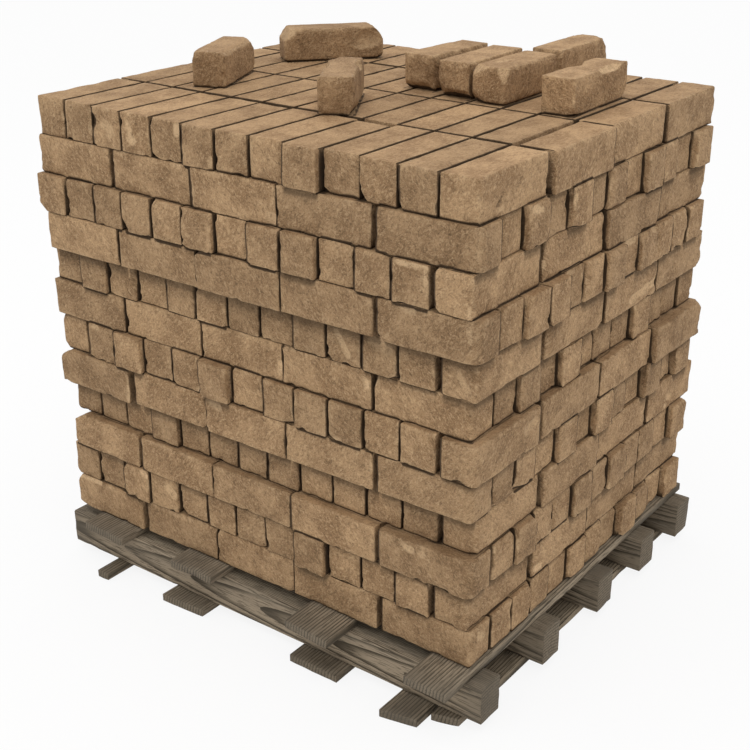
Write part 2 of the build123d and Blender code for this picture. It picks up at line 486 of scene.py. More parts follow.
# %% Shape one worn brick
TOP, BASE = (2, 1), (2, -1)
CORNER_DRIFT = Vector((0.0006, 0.0006, 0.0003))
LUMP_WIDTH, LUMP_DEPTH = 0.050, 0.0032
DENT_WIDTH, DENT_DEPTH = 0.018, 0.0014
NIBBLE_WIDTH, NIBBLE_DEPTH = 0.030, 0.0035
NIBBLE_RANGE = (0.05, 0.75)
BELLY_REACH, BELLY_DEPTH = 0.014, 0.0050
TAKE_FADE = 0.020
JOINT_SHARE = 0.05
TOP_SHARE = 0.25
USUAL_TAKE = (LUMP_DEPTH + DENT_DEPTH) / 2
ARRIS_REACH = 0.012
CHIPS = 3
CHIP_RADIUS = (0.009, 0.030)
CHIP_DEPTH = (0.0030, 0.0075)
DEEPEST_CHIP_SHARE = 0.5
CHIP_SWAY = (-0.4, 0.4)
CORNER_CHANCES = (0.0, 0.20, 0.50, 0.50)
CORNER_DEPTH = (0.003, 0.014)
CORNER_LEAN = (0.25, 1.0)
OUTER_ROUND = (0.003, 0.009)
PALE_CHANCE = 0.30
PALE_RANGE = (0.6, 1.0)
FAINT = 0.12
ROUGH_WIDTH = 0.011
BREAK_ROUGHNESS, BREAK_EDGE = 0.0015, 0.002
SCOOP_ROUGHNESS, SCOOP_EDGE = 0.10, 0.0015
RUB_SHARE = 0.45
RUB_RANGE = (0.45, 0.75)
NOISE_SPAN = 50


def smooth_step(low, high, value):
    """Rises softly from 0 to 1 between two values, or falls if the first is the higher."""
    share = min(1.0, max(0.0, (value - low) / (high - low)))
    return share * share * (3 - 2 * share)


def paleness(chance):
    """Most breaks are old and dirty, and a few are fresh and pale."""
    return chance.uniform(*PALE_RANGE) if chance.random() < PALE_CHANCE else FAINT


def at_shares(shares, size):
    """The point at the given shares of a block's half sizes, from its middle."""
    return Vector([share * length / 2 for share, length in zip(shares, size)])


def reach_of(size, outward):
    """How far a block reaches from its middle in a direction."""
    return sum(abs(outward[axis]) * size[axis] / 2 for axis in range(3))


def chip_on(size, shows, chance):
    """A ball that scoops a chip out of an arris of a side that shows: two equal ends, radius and paleness."""
    radius = chance.uniform(*CHIP_RADIUS)
    depth = min(chance.uniform(*CHIP_DEPTH), radius * DEEPEST_CHIP_SHARE)
    axis, sign = chance.choice([side for side in shows if side != TOP] or shows)
    other = chance.choice([k for k in range(3) if k != axis])
    run = 3 - axis - other
    outward = outward_of(axis, sign)
    outward[other] = chance.choice((-1, 1))
    if other == 2 and TOP in shows:
        outward[other] = -1
    middle = at_shares(outward, size)
    middle[run] = chance.uniform(-0.5, 0.5) * size[run]
    outward = (outward + Vector([chance.uniform(*CHIP_SWAY) for k in range(3)])).normalized()
    place = middle + outward * (radius - depth)
    return place, place, radius, paleness(chance)


def broken_corners(size, shows, chance):
    """Flat breaks across the corners that show, each as an outward direction, its reach and paleness."""
    breaks = []
    for corner in range(8):
        outward = Vector([(1 if corner >> axis & 1 else -1) for axis in range(3)])
        open_sides = sum(outward[axis] == sign for axis, sign in shows)
        if chance.random() < CORNER_CHANCES[open_sides]:
            tip = at_shares(outward, size)
            depth = chance.uniform(*CORNER_DEPTH) * (TOP_SHARE if TOP in shows and outward.z > 0 else 1)
            outward = Vector([side * chance.uniform(*CORNER_LEAN) for side in outward]).normalized()
            breaks.append((outward, tip.dot(outward) - depth, paleness(chance)))
    return breaks


def rounded(co, half, radius, axes):
    """Brings a point that lies beyond a round of the given axes back onto it."""
    core = co.copy()
    for axis in axes:
        reach = half[axis] - radius
        core[axis] = max(-reach, min(reach, co[axis]))
    away = co - core
    return core + away * (radius / away.length) if away.length > radius else co


def scooped(co, first, second, radius):
    """Pushes a point out of a round bar between two points, or out of a ball if they are one."""
    run = second - first
    share = 0.0
    if run.length > 0:
        share = max(0.0, min(1.0, (co - first).dot(run) / run.length_squared))
    middle = first + run * share
    away = co - middle
    return middle + away.normalized() * radius if away.length < radius else co


def drifted(shares, drift):
    """How far a point moves as the eight corners drift inwards, from its shares along each axis."""
    moved = Vector((0, 0, 0))
    for place, offsets in enumerate(drift):
        weight = 1.0
        for axis in range(3):
            weight *= shares[axis] if place >> axis & 1 else 1 - shares[axis]
        for axis in range(3):
            moved[axis] -= weight * offsets[axis] * (1 if place >> axis & 1 else -1)
    return moved


def knocked(co, scoops, breaks, rough):
    """Where breaks and scoops leave a point, and how broken it is there, below zero where a crack gets
    painted shade.
    """
    pale = 0.0
    for outward, reach, amount in breaks:
        over = co.dot(outward) - reach + BREAK_ROUGHNESS * rough
        if over > 0:
            co = co - outward * over
            pale = max(pale, amount * min(1.0, over / BREAK_EDGE))
    for first, second, radius, amount in scoops:
        cut = scooped(co, first, second, radius * (1 + SCOOP_ROUGHNESS * rough))
        mark = amount * min(1.0, (cut - co).length / SCOOP_EDGE)
        if abs(mark) > abs(pale):
            pale = mark
        co = cut
    return co, pale


def wear_brick(corners, size, shows, chance, scoops, breaks, outer_round, soft_radius=0.0):
    """Wears a plain brick on its own axes. Gives how broken each corner is, below zero where a crack gets
    painted shade.
    """
    drift = [[chance.random() * CORNER_DRIFT[axis] for axis in range(3)] for corner in range(8)]
    seed = Vector([chance.uniform(0, NOISE_SPAN) for axis in range(3)])
    softness = chance.random() ** 2
    flanks = [side for side in shows if side[0] != 2]
    half = size / 2
    broken = []
    for corner in corners:
        co = corner.co.copy()
        gaps = [half[axis] - abs(co[axis]) for axis in range(3)]
        to_arris = sorted(gaps)[1]
        arris = 1.0 - min(1.0, to_arris / ARRIS_REACH)
        lump = 0.5 + 0.5 * noise.noise(co / LUMP_WIDTH + seed)
        dent = 0.5 + 0.5 * noise.noise(co / DENT_WIDTH + seed)
        nibble = smooth_step(*NIBBLE_RANGE, noise.noise(co / NIBBLE_WIDTH - seed))
        belly = softness * BELLY_DEPTH * (1.0 - smooth_step(0.0, BELLY_REACH, to_arris))
        take = LUMP_DEPTH * lump + DENT_DEPTH * dent + NIBBLE_DEPTH * nibble * arris
        moved = drifted([co[axis] / size[axis] + 0.5 for axis in range(3)], drift)
        showing = 0.0
        for axis in range(3):
            sign = 1 if co[axis] > 0 else -1
            close = 1.0 - smooth_step(ARRIS_ROUND, ARRIS_ROUND + TAKE_FADE, gaps[axis])
            if (axis, sign) in flanks:
                moved[axis] -= sign * close * (take - USUAL_TAKE + belly)
                showing = max(showing, close)
            else:
                moved[axis] -= sign * close * take * (TOP_SHARE if (axis, sign) in shows else JOINT_SHARE)
        co += moved
        if soft_radius > 0:
            co = rounded(co, half, soft_radius, (0, 1, 2))
        elif all(any(co[axis] * sign > 0 for axis, sign in flanks if axis == k) for k in (0, 1)):
            co = rounded(co, half, outer_round, (0, 1))
        corner.co, pale = knocked(co, scoops, breaks, noise.noise(co / ROUGH_WIDTH + seed))
        rubbed = RUB_SHARE * arris * showing * smooth_step(*RUB_RANGE, dent)
        broken.append(max(pale, rubbed) if pale >= 0 else pale)
    return broken


print("a face is worn by up to", round((LUMP_DEPTH + DENT_DEPTH + NIBBLE_DEPTH) * 1000, 1), "mm")

# %% [markdown]
# ## Knocks that can be read off the photograph
#
# Most chips are left to chance, but some knocks are plain to see, and a likeness needs them. Each is written
# in the table of its face: the course from the top, the brick counted from the left (on the right
# face that is from the near corner), where the scoop starts and ends, from -1 to 1 across and up the brick's
# face, then its radius and depth in millimetres, and how pale it is, or below zero how much painted shade
# darkens the crack.

# %% The knocks
FRONT_KNOCKS = (
    (1, 2, (-1, -0.1), (-1, -0.4), 14, 3.5, 1),
    (1, 3, (-1, 0.35), (-0.9, 0.25), 17, 9, 0.2),
    (1, 3, (0, 0.15), (0.2, -0.1), 34, 4.5, 0.7),
    (1, 4, (-0.5, 0.40), (-0.4, 0.15), 14, 4, 0.9),
    (1, 4, (-0.45, -0.25), (-0.2, -0.35), 15, 4, 0.9),
    (1, 4, (0.1, 0.40), (0.2, 0), 12, 4, 0),
    (1, 5, (0.85, 1), (0.85, 0.45), 11, 3.5, 1),
    (1, 5, (-0.5, -0.9), (0.1, -0.8), 14, 4, 0),
    (1, 6, (0.9, -0.4), (0.9, -0.8), 12, 3, 0.6),
    (1, 10, (0.3, -1), (0.7, -1), 18, 8, 0.8),
    (1, 13, (0.8, -1), (1, -1), 18, 7, 0.1),
    (2, 2, (0.70, 1), (0.80, 1), 14, 4, 0.9),
    (2, 3, (-1, 0.1), (-1, -1), 24, 6, 0.5),
    (2, 3, (-0.55, 1), (-0.45, 1), 14, 4, 0.9),
    (2, 3, (0.96, -0.55), (0.90, -1), 18, 8, 0.7),
    (2, 5, (-0.1, -0.8), (0.5, -0.8), 55, 4, 0),
    (3, 2, (0.2, -1), (0.7, -0.9), 12, 4, 0.7),
    (3, 12, (-0.6, 0.95), (0.9, 0.95), 11, 3.5, 1),
    (3, 12, (0.9, 0.9), (0.9, 0.2), 12, 3.5, 0.9),
    (3, 12, (-0.3, -1), (0.9, -0.95), 14, 6, 0.2),
    (3, 13, (0.95, -0.4), (0.95, -0.8), 11, 3, 0.7),
    (4, 2, (0.90, -0.9), (1, -0.8), 18, 7, 0.3),
    (4, 4, (0.97, 0.7), (0.97, -0.3), 11, 3, 0.7),
    (4, 5, (-0.42, 0.9), (-0.28, 0.85), 15, 4, 0.9),
    (4, 5, (0.85, 0.55), (0.87, 0.1), 12, 4, 1),
    (5, 9, (-0.2, -0.9), (0.3, -0.95), 14, 5, 0.2),
    (5, 10, (-0.4, 0.5), (0.3, -0.5), 10, 3.5, 1),
    (5, 11, (-0.4, 0.6), (0.5, 0.4), 26, 4.5, 0.6),
    (5, 13, (-0.1, 0.3), (0.5, -0.4), 14, 3.5, 0.5),
    (6, 3, (0.97, 0.1), (0.97, -0.6), 11, 3, 0.9),
    (6, 4, (0.87, 0.55), (0.90, 0.2), 13, 4, 1),
    (7, 2, (-0.7, 0.95), (-0.3, 0.9), 13, 4, 1),
    (7, 10, (-0.7, -0.9), (-0.3, -1), 13, 4.5, 0.5),
    (7, 12, (-0.7, -0.9), (-0.1, -1), 14, 5, 0.4),
    (8, 1, (0.98, 0.7), (0.98, -0.7), 11, 3, 1),
    (8, 3, (-0.85, 0.75), (-0.65, 0.65), 16, 4, 1),
    (8, 4, (0.97, 0.5), (0.97, 0), 11, 3, 0.8),
    (9, 4, (-0.3, 0.2), (0.3, -0.3), 30, 4, 0.3),
    (10, 5, (-0.42, 0.65), (-0.25, 0.60), 13, 3.5, 1),
    (10, 5, (-0.05, 0.60), (0, 0.60), 10, 3, 0.9),
    (10, 5, (0.15, -1), (0.45, -1), 16, 8, 0.1),
    (11, 3, (0.6, 0.85), (0.9, 0.7), 14, 4, 1),
    (11, 4, (0.3, 0.4), (0.8, 0.1), 15, 6.5, 0.8),
    (11, 4, (0.2, 0.6), (0.6, 0.5), 8, 4, 0.3),
    (11, 9, (-0.35, 0.25), (-0.25, 0.2), 9, 5, 0.4),
    (11, 12, (-0.2, -1), (0.4, -1), 13, 5, 0.2),
    (11, 13, (-0.7, -0.9), (0, -1), 18, 6.5, 0.2),
    (12, 1, (-1, 0.95), (-0.3, 0.95), 13, 4.5, 0.9),
    (12, 2, (-0.5, 0.95), (1, 0.95), 11, 4, 0.8),
    (12, 2, (0.80, -1), (0.90, -0.9), 16, 5, 0.3),
    (12, 5, (0.97, 0.75), (0.97, 0.4), 14, 4, 1),
)
RIGHT_KNOCKS = (
    # The first two are cracks, below zero, so they are darkened with painted shade.
    (1, 1, (0.05, -0.05), (0.20, 0.33), 6, 4, -0.42),
    (1, 1, (-0.48, -0.46), (-0.30, 0), 6, 4.5, -0.44),
    (1, 1, (-0.40, -0.62), (-0.34, -0.70), 10, 3, 0.6),
    (2, 3, (-0.6, 0.85), (-0.1, 0.7), 16, 5, 1),
    (2, 9, (0.2, -0.9), (0.7, -0.8), 16, 5, 0.3),
    (4, 8, (-0.3, 0.9), (0.4, 0.9), 15, 5, 0.9),
    (5, 3, (0, -0.55), (0.95, -0.30), 12, 5, 0.8),
    (5, 4, (-0.85, -0.9), (-0.6, -0.8), 20, 6, 0.2),
    (7, 1, (0.55, 0.2), (0.8, 0.4), 18, 4, 0.5),
    (8, 9, (-0.6, 0.95), (0.5, 0.95), 16, 7, 0.4),
    (9, 4, (-0.1, -0.2), (0, -0.3), 12, 5, 0.6),
    (9, 4, (-0.2, -0.7), (-0.15, -0.8), 10, 4, 0.8),
    (11, 2, (-0.95, -0.5), (-0.75, -0.6), 15, 5, 1),
    (12, 1, (-0.2, 0.6), (0.2, 0.3), 14, 3.5, 0.9),
)
# Corners that are broken off the left end of the front face: the course, how far the break runs along the
# brick and up it, in millimetres, below zero from the bottom, and how pale it is.
BROKEN_ENDS = (
    (2, 12, -10, 0.2),
    (3, 8, -14, 0.2),
    (4, 7, 10, 0.3),
    (8, 32, 18, 0.3),
    (10, 38, 24, 0.2),
    (10, 26, -24, 0.1),
    (12, 14, 22, 0.4),
    (12, 36, -11, 0.0),
)
KNOCKS = {"front": FRONT_KNOCKS, "right": RIGHT_KNOCKS}
ACROSS = {"front": Vector((1, 0, 0)), "right": Vector((0, 1, 0))}
OUTWARD = {"front": Vector((0, -1, 0)), "right": Vector((1, 0, 0))}
UPWARD = Vector((0, 0, 1))
MILLIMETRE = 0.001
FACE_REACH = 0.045


def in_face(lies, side):
    """The bricks of a course that lie in a face of the stack, in order, as places in the list."""
    outward = OUTWARD[side]
    reach = []
    for lie, size in lies:
        depth = abs((lie.to_3x3().inverted() @ outward).dot(size))
        reach.append(lie.translation.dot(outward) + depth / 2)
    found = [place for place in range(len(lies)) if reach[place] > max(reach) - FACE_REACH]
    return sorted(found, key=lambda place: lies[place][0].translation.dot(ACROSS[side]))


def knocks_of(course_number, lies):
    """The scoops of one course's bricks, on their own axes, by their place in the list."""
    scoops = {}
    rows = [(side, *row) for side, table in KNOCKS.items() for row in table if row[0] == course_number]
    for side, course, number, start, end, radius, depth, pale in rows:
        place = in_face(lies, side)[number - 1]
        lie, size = lies[place]
        turn = lie.to_3x3().inverted()
        outward = turn @ OUTWARD[side]
        across = turn @ ACROSS[side]
        ends = []
        for u, v in (start, end):
            point = Vector([(outward[k] + u * across[k] + v * UPWARD[k]) * size[k] / 2 for k in range(3)])
            ends.append(point + outward * (radius - depth) * MILLIMETRE)
        scoops.setdefault(place, []).append((ends[0], ends[1], radius * MILLIMETRE, pale))
    return scoops


def breaks_of(course_number, lies):
    """The broken ends of one course, as flat breaks by the brick's place in the list."""
    breaks = {}
    for course, along, up, pale in BROKEN_ENDS:
        if course != course_number:
            continue
        place = in_face(lies, "front")[0]
        lie, size = lies[place]
        across = lie.to_3x3().inverted() @ ACROSS["front"]
        depth = along * abs(up) / math.hypot(along, up) * MILLIMETRE
        facing = (UPWARD * along * math.copysign(1, up) - across * abs(up)).normalized()
        breaks.setdefault(place, []).append((facing, reach_of(size, facing) - depth, pale))
    return breaks


for node, lies in courses.items():
    print(node, "bricks in the front and right faces:", [len(in_face(lies, side)) for side in OUTWARD])

# %% [markdown]
# ## Painted shade in the joints
#
# A side of a brick shows if it lies in one of the stack's four faces, or on top or underneath. Painted shade
# darkens the edges of a joint on top, the flanks in the joints of the faces, the back-left edge of a brick
# that stands out, and the undersides, in place of the shade of the gaps and steps.

# %% Painted shade and joints
SHOWING_DEPTH = 0.050
STRIKE_FADE = 0.010
STRIKE_RANGE = (0.6, 0.95)
# How strongly painted shade darkens a joint's edges on top, a flank in a joint, the back-left edge of a
# standing-out brick and an underside.
JOINT_PAINTED_SHADE = 0.9
JOINT_PAINTED_SHADE_WIDTH = 0.0034
WIDE_JOINTS = (0.024, 0.012)
NARROW_SHARE = 0.6
JOINT_PROBE_DEPTH = 0.015
FLANK_DEPTH = 0.030
FLANK_PAINTED_SHADE = 0.46
JOINT_REACH = 0.008
JOINT_INSET = 0.0025
# The back-left edge of a brick that stands out gets a painted shade line.
BACK_LEFT = Vector((-1, 1, 0))
BACK_LEFT_PAINTED_SHADE = 0.85
BACK_LEFT_SHADE_WIDTH = 0.009
BACK_LEFT_SHADE_DEPTH = 0.005
UNDERSIDE_PAINTED_SHADE = 0.8
UNDERSIDE_RANGE = (-0.2, -0.7)
UPPER_NORMAL = 0.2
FAR_AWAY = 1.0
FLANKS = [(0, -1), (0, 1), (1, -1), (1, 1)]


def sides_that_show(lie, size, low, high, shows_top, shows_base):
    """The brick's sides that show, as signed axes of its own."""
    turn = lie.to_3x3()
    shows = []
    for axis, sign in FLANKS:
        outward = turn.col[axis] * sign
        face = lie.translation + outward * size[axis] / 2
        for k in (0, 1):
            depth = face[k] - low[k] if outward[k] < 0 else high[k] - face[k]
            if abs(outward[k]) > FACING and depth < FACE_REACH:
                shows.append((axis, sign))
    if shows_top:
        shows.append(TOP)
    if shows_base:
        shows.append(BASE)
    return shows


def across_joint(lie, size, start, side, reach):
    """How far a feeler goes from a side to the next solid, or None, and whether it starts inside that one."""
    axis, sign = side
    start[axis] = sign * (size[axis] / 2 + FEELER_START / 2)
    direction = lie.to_3x3() @ outward_of(axis, sign)
    normal, distance = solids.ray_cast(lie @ start, direction, reach)[1::2]
    return distance, distance is not None and normal.dot(direction) > 0


def joint_narrowness(lie, size, co, side):
    """How near the next brick is across a joint: 1 in a usual joint and 0 in a wide one."""
    wide = WIDE_JOINTS[side[0]]
    start = Vector((co.x, co.y, size.z / 2 - JOINT_PROBE_DEPTH))
    distance = across_joint(lie, size, start, side, wide)[0]
    return 0.0 if distance is None else smooth_step(wide, wide * NARROW_SHARE, distance)


def in_joint(lie, size, co, side):
    """Whether the next brick is right beside a point, or so close that the feeler starts inside it."""
    reach = [length / 2 - JOINT_INSET for length in size]
    start = Vector([max(-most, min(most, x)) for x, most in zip(co, reach)])
    distance, inside = across_joint(lie, size, start, side, 2 * size[side[0]])
    return inside or (distance is not None and distance < JOINT_REACH)


def depth_under(side, co, size):
    """How deep a point of a brick lies under one of its sides."""
    axis, sign = side
    return size[axis] / 2 - co[axis] * sign


def painted_shade_of(corner, lie, size, shows):
    """How much painted shade a corner of a plain brick gets where it lies, and how much painted shadow under
    an overhang, both from 0 to 1.
    """
    co = corner.co
    # A point far under every side that shows is hidden, and gets full painted shade and painted shadow.
    if min((depth_under(side, co, size) for side in shows), default=FAR_AWAY) > SHOWING_DEPTH:
        return 1.0, 1.0
    turn = lie.to_3x3()
    shade_amount, painted_overhang_shadow = shelter(lie @ on_sides(co, size / 2), turn @ corner.normal)
    # Faces that point down get painted shade.
    shade_amount = max(shade_amount, UNDERSIDE_PAINTED_SHADE * smooth_step(*UNDERSIDE_RANGE, corner.normal.z))
    to_flank = min((depth_under(side, co, size) for side in shows if side[0] != 2), default=FAR_AWAY)
    on_top = TOP in shows and (corner.normal.z > UPPER_NORMAL or to_flank > FLANK_DEPTH)
    for side in FLANKS:
        to_joint = depth_under(side, co, size)
        if side in shows or to_joint > BACK_LEFT_SHADE_WIDTH:
            continue
        # Painted shade along the joints, on flanks in a joint and on the back-left edge of a standing-out
        # brick.
        joint_shade = smooth_step(JOINT_PAINTED_SHADE_WIDTH, 0.0, to_joint)
        if on_top and joint_shade > 0:
            shade_amount = max(shade_amount, JOINT_PAINTED_SHADE * joint_shade * joint_narrowness(lie, size, co, side))
        elif not on_top and to_flank < FLANK_DEPTH and in_joint(lie, size, co, side):
            shade_amount = max(shade_amount, FLANK_PAINTED_SHADE * joint_shade)
        elif not on_top and to_flank < BACK_LEFT_SHADE_DEPTH and (turn @ outward_of(*side)).dot(BACK_LEFT) > 0:
            shade_amount = max(shade_amount, BACK_LEFT_PAINTED_SHADE * smooth_step(BACK_LEFT_SHADE_WIDTH, 0.0, to_joint))
    return shade_amount, painted_overhang_shadow


def strike_of(corner, size):
    """How smooth the maker's board has left a corner of a plain brick."""
    to_arris = min(size[axis] / 2 - abs(corner.co[axis]) for axis in (0, 1))
    return smooth_step(*STRIKE_RANGE, corner.normal.z) * smooth_step(0.0, STRIKE_FADE, to_arris)


# How far the painted shade reaches from a joint.
print("soil reaches", round(JOINT_PAINTED_SHADE_WIDTH / MILLIMETRE, 1), "mm from a joint")

# %% [markdown]
# ## The courses
#
# Each course becomes one joined mesh, because hundreds of separate objects would be slow to handle. A brick
# is copied from its mould, worn on its own axes, then laid where the frame has it. The near corner of the
# stack is seen best, so each course has its own round there, in millimetres.

# %% Lay the courses
BRICK_TWIST = math.radians(0.3)
CLAY_SPAN = 20
NEAR_ROUNDS = (7, 24, 9, 26, 12, 16, 14, 14, 12, 24, 14, 10)


def new_piece(name, block, finish):
    """Makes a smooth piece of the scene from a finished block."""
    for face in block.faces:
        face.smooth = True
    mesh = bpy.data.meshes.new(name)
    block.to_mesh(mesh)
    block.free()
    mesh.materials.append(finish)
    piece = bpy.data.objects.new(name, mesh)
    scene.collection.objects.link(piece)
    return piece


def lay_bricks(name, lies, shows_of, knocks, cuts, near_round=0.0, soft_radius=0.0):
    """One joined mesh of worn bricks, laid as the frame has them, with the near corner's own round."""
    block = bmesh.new()
    clay_place = block.verts.layers.float_vector.new("clay_place")
    layers = [block.verts.layers.float.new(layer) for layer in CLAY_LAYERS]
    for number, (lie, size) in enumerate(lies):
        chance = random.Random(f"{name} {number}")
        shows = shows_of(lie, size)
        before = len(block.verts)
        block.from_mesh(mould_for(size, [side for side in shows if side != BASE]))
        block.verts.ensure_lookup_table()
        corners = block.verts[before:]
        shade_amounts = [painted_shade_of(corner, lie, size, shows) for corner in corners]
        strikes = [strike_of(corner, size) for corner in corners]
        has_flank = any(side != TOP for side in shows)
        scoops = [chip_on(size, shows, chance) for chip in range(CHIPS if has_flank else 0)]
        scoops += knocks.get(number, [])
        breaks = broken_corners(size, shows, chance) + cuts.get(number, [])
        outer_round = chance.uniform(*OUTER_ROUND)
        if lie.translation.x > 0 > lie.translation.y:
            outer_round = near_round * MILLIMETRE
        broken = wear_brick(corners, size, shows, chance, scoops, breaks, outer_round, soft_radius)
        offset = Vector([chance.uniform(-CLAY_SPAN, CLAY_SPAN) for axis in range(3)])
        flip = Matrix.Diagonal([chance.choice((-1, 1)) for axis in range(3)])
        fired = chance.random()
        twist = Matrix.Rotation(chance.uniform(-BRICK_TWIST, BRICK_TWIST), 4, "Z")
        for corner, (shade_amount, painted_overhang_shadow), strike, mark in zip(corners, shade_amounts, strikes, broken):
            corner[clay_place] = flip @ corner.co + offset
            # Painted shade, from shelter, joints and cracks, goes into one layer, and painted shadow under
            # overhangs into the next.
            values = (max(0.0, mark), max(shade_amount, -mark), painted_overhang_shadow, fired, strike * (1.0 - abs(mark)))
            for layer, value in zip(layers, values):
                corner[layer] = value
        bmesh.ops.transform(block, matrix=lie @ twist, verts=corners)
    return new_piece(name, block, clay)


for course_number, (node, lies) in enumerate(courses.items(), 1):
    low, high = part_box(node)
    is_top = node == COURSE_NODES[0]
    is_base = node == COURSE_NODES[-1]
    course = lay_bricks(
        f"worn_{node}", lies, lambda lie, size: sides_that_show(lie, size, low, high, is_top, is_base),
        knocks_of(course_number, lies), breaks_of(course_number, lies), NEAR_ROUNDS[course_number - 1],
    )
    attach(course, "root")
    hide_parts(node)
    print(course.name, len(course.data.polygons), "faces")

# %% [markdown]
# ## The loose bricks
#
# The spare bricks on top are single pieces, made in the same way, and all their sides but the underside
# show. They have been handled most, so each has its own cuts. On a brick's own axes -x is its near end, -y
# its right side and z is up. A cut is a flat break, given by the way it faces, its depth in millimetres and
# its paleness. A scoop is given by its ends in shares of the brick's half sizes, its radius, its depth along
# the way it faces, and its paleness. The first number is how round the whole brick has become.

# %% Lay the loose bricks
LOOSE_WEAR = {
    1: (6, [((0.8, -1, 0.9), 18, 0.1), ((0, -0.7, 1), 8, 0.1), ((-0.1, 0.6, 1), 6, 0.2)], []),
    2: (10, [
        ((-1, 0, 0.7), 17, 0.5), ((1, 0, 0.8), 20, 0.6), ((-0.7, -1, 0.9), 19, 0.9),
    ], [
        ((0.55, -1, 0.20), (0.80, -1, 0.35), 38, 8, (0, -1, 0), 0.5),
    ]),
    3: (5, [((0.5, 0.9, 0.6), 22, 0.2), ((-0.1, -1, -0.5), 12, 0)], [
        ((0.30, -1, 1), (0.45, -1, 1), 24, 14, (0, -0.7, 0.7), 0.4),
        ((0, 1, 1), (0.35, 1, 1), 26, 11, (0, 0.7, 0.7), 0.3),
    ]),
    4: (5, [((-1, -0.9, -0.2), 15, 0.1), ((-1, 0, -0.9), 13, 0)], []),
    5: (7, [((-1, 0.7, -0.6), 19, 0.1), ((-0.9, 0, -1), 14, 0)], []),
    6: (10, [
        ((-1, -0.9, 0.6), 17, 0.7), ((-1, 0.5, 1), 16, 0.5), ((-1, 0.5, -0.8), 16, 0),
    ], [
        ((-0.45, 0.35, 1), (-0.05, 0.25, 1), 20, 2.5, (0, 0, 1), 0.6),
    ]),
    7: (6, [((1, -0.8, 0.9), 20, 0.5), ((0.2, 0.8, 1), 8, 0.2)], []),
    8: (2.5, [((1, -0.8, -0.8), 14, 0.1)], [
        ((0.05, -1, 1), (0.55, -1, 1), 26, 10, (0, -0.6, 0.8), 0.8),
        ((0.10, 1, 1), (0.30, 1, 1), 30, 12, (0, 0.7, 0.7), 0.3),
    ]),
}
ALL_SIDES = FLANKS + [TOP]


def wear_of(number, size):
    """A loose brick's own scoops and cuts, in metres on its axes."""
    soft, cuts, scoops = LOOSE_WEAR[number]
    breaks = []
    for facing, depth, pale in cuts:
        outward = Vector(facing).normalized()
        breaks.append((outward, reach_of(size, outward) - depth * MILLIMETRE, pale))
    bars = []
    for start, end, radius, depth, facing, pale in scoops:
        lift = Vector(facing) * (radius - depth) * MILLIMETRE
        first, second = (at_shares(shares, size) + lift for shares in (start, end))
        bars.append((first, second, radius * MILLIMETRE, pale))
    return soft * MILLIMETRE, breaks, bars


for number, node in enumerate(LOOSE_NODES, 1):
    lies = bricks_of(node)
    soft_radius, cuts, bars = wear_of(number, lies[0][1])
    loose = lay_bricks(
        f"worn_{node}", lies, lambda lie, size: ALL_SIDES, {0: bars}, {0: cuts}, soft_radius=soft_radius,
    )
    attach(loose, "root")
    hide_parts(node)
print("loose bricks:", len(LOOSE_NODES), "of", len(loose.data.polygons), "faces or so")

core_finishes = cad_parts["hidden_bricks"].data.materials
core_finishes.clear()
core_finishes.append(clay)

# %% [markdown]
# ## Weathered timber
#
# Sawn wood shows its yearly rings: arches and lines on its faces and arcs on its ends. A flat stripe pattern
# would not turn the corner at a sawn end, so the rings are a solid pattern round the heart of the tree, which
# lies outside the plank. Each plank carries its own place in the tree as an attribute, with its length
# squeezed so that the fibres come out long. Weather then turns the soft early wood grey and leaves the hard
# late wood as dark lines.

# %% The timber finish
WOOD_EARLY = (0.330, 0.262, 0.182, 1)
WOOD_LATE = (0.050, 0.038, 0.024, 1)
WOOD_STAIN = (0.105, 0.088, 0.066, 1)
WOOD_PALE = (0.370, 0.300, 0.215, 1)
STRINGER_RINGS = 74.0
BOARD_RINGS = 40.0
FIBRE_RELIEF = 0.0012


def timber_finish(name, ring_scale):
    material, tree, shader = new_finish(name)
    place = attribute(tree, "wood_place", "Vector")
    weathered = attribute(tree, "weathered")
    rings = add(tree, "ShaderNodeTexWave", {
        "Vector": place, "Scale": ring_scale, "Distortion": 3.0, "Detail": 3.0, "Detail Scale": 0.35,
    }, wave_type="RINGS", rings_direction="X", wave_profile="SAW").outputs["Fac"]
    fibres = grain(tree, place, 430.0, 3.0, 0.6)
    streaks = grain(tree, place, 60.0, 4.0, 0.6)
    stains = grain(tree, place, 9.0, 4.0, 0.6)
    colour = mix(tree, between(tree, rings, 0.42, 0.96), WOOD_EARLY, WOOD_LATE)
    colour = mix(tree, times(tree, between(tree, streaks, 0.45, 0.72), 0.5), colour, WOOD_PALE)
    colour = mix(tree, times(tree, between(tree, fibres, 0.51, 0.36), 0.75), colour, WOOD_LATE)
    colour = mix(tree, times(tree, between(tree, stains, 0.45, 0.70), 0.6), colour, WOOD_STAIN)
    colour = mix(tree, times(tree, weathered, 0.5), colour, WOOD_STAIN)
    height = plus(tree, times(tree, fibres, 0.5), rings)
    bump = add(tree, "ShaderNodeBump", {"Height": height, "Strength": 0.6, "Distance": -FIBRE_RELIEF})
    fill(tree, shader, {
        "Base Color": colour, "Roughness": 0.85, "Specular IOR Level": 0.25, "Normal": bump.outputs["Normal"],
    })
    return material


stringer_timber = timber_finish("stringer_timber", STRINGER_RINGS)
board_timber = timber_finish("board_timber", BOARD_RINGS)
print("timber has", len(board_timber.node_tree.nodes), "nodes")

# %% [markdown]
# ## The planks
#
# A plank starts as a merged copy of its solid, so that its skew sawn ends are kept. A small bevel takes the
# sharpness off its arrises, loops give it points, and a noise drawn out along the grain wears it.

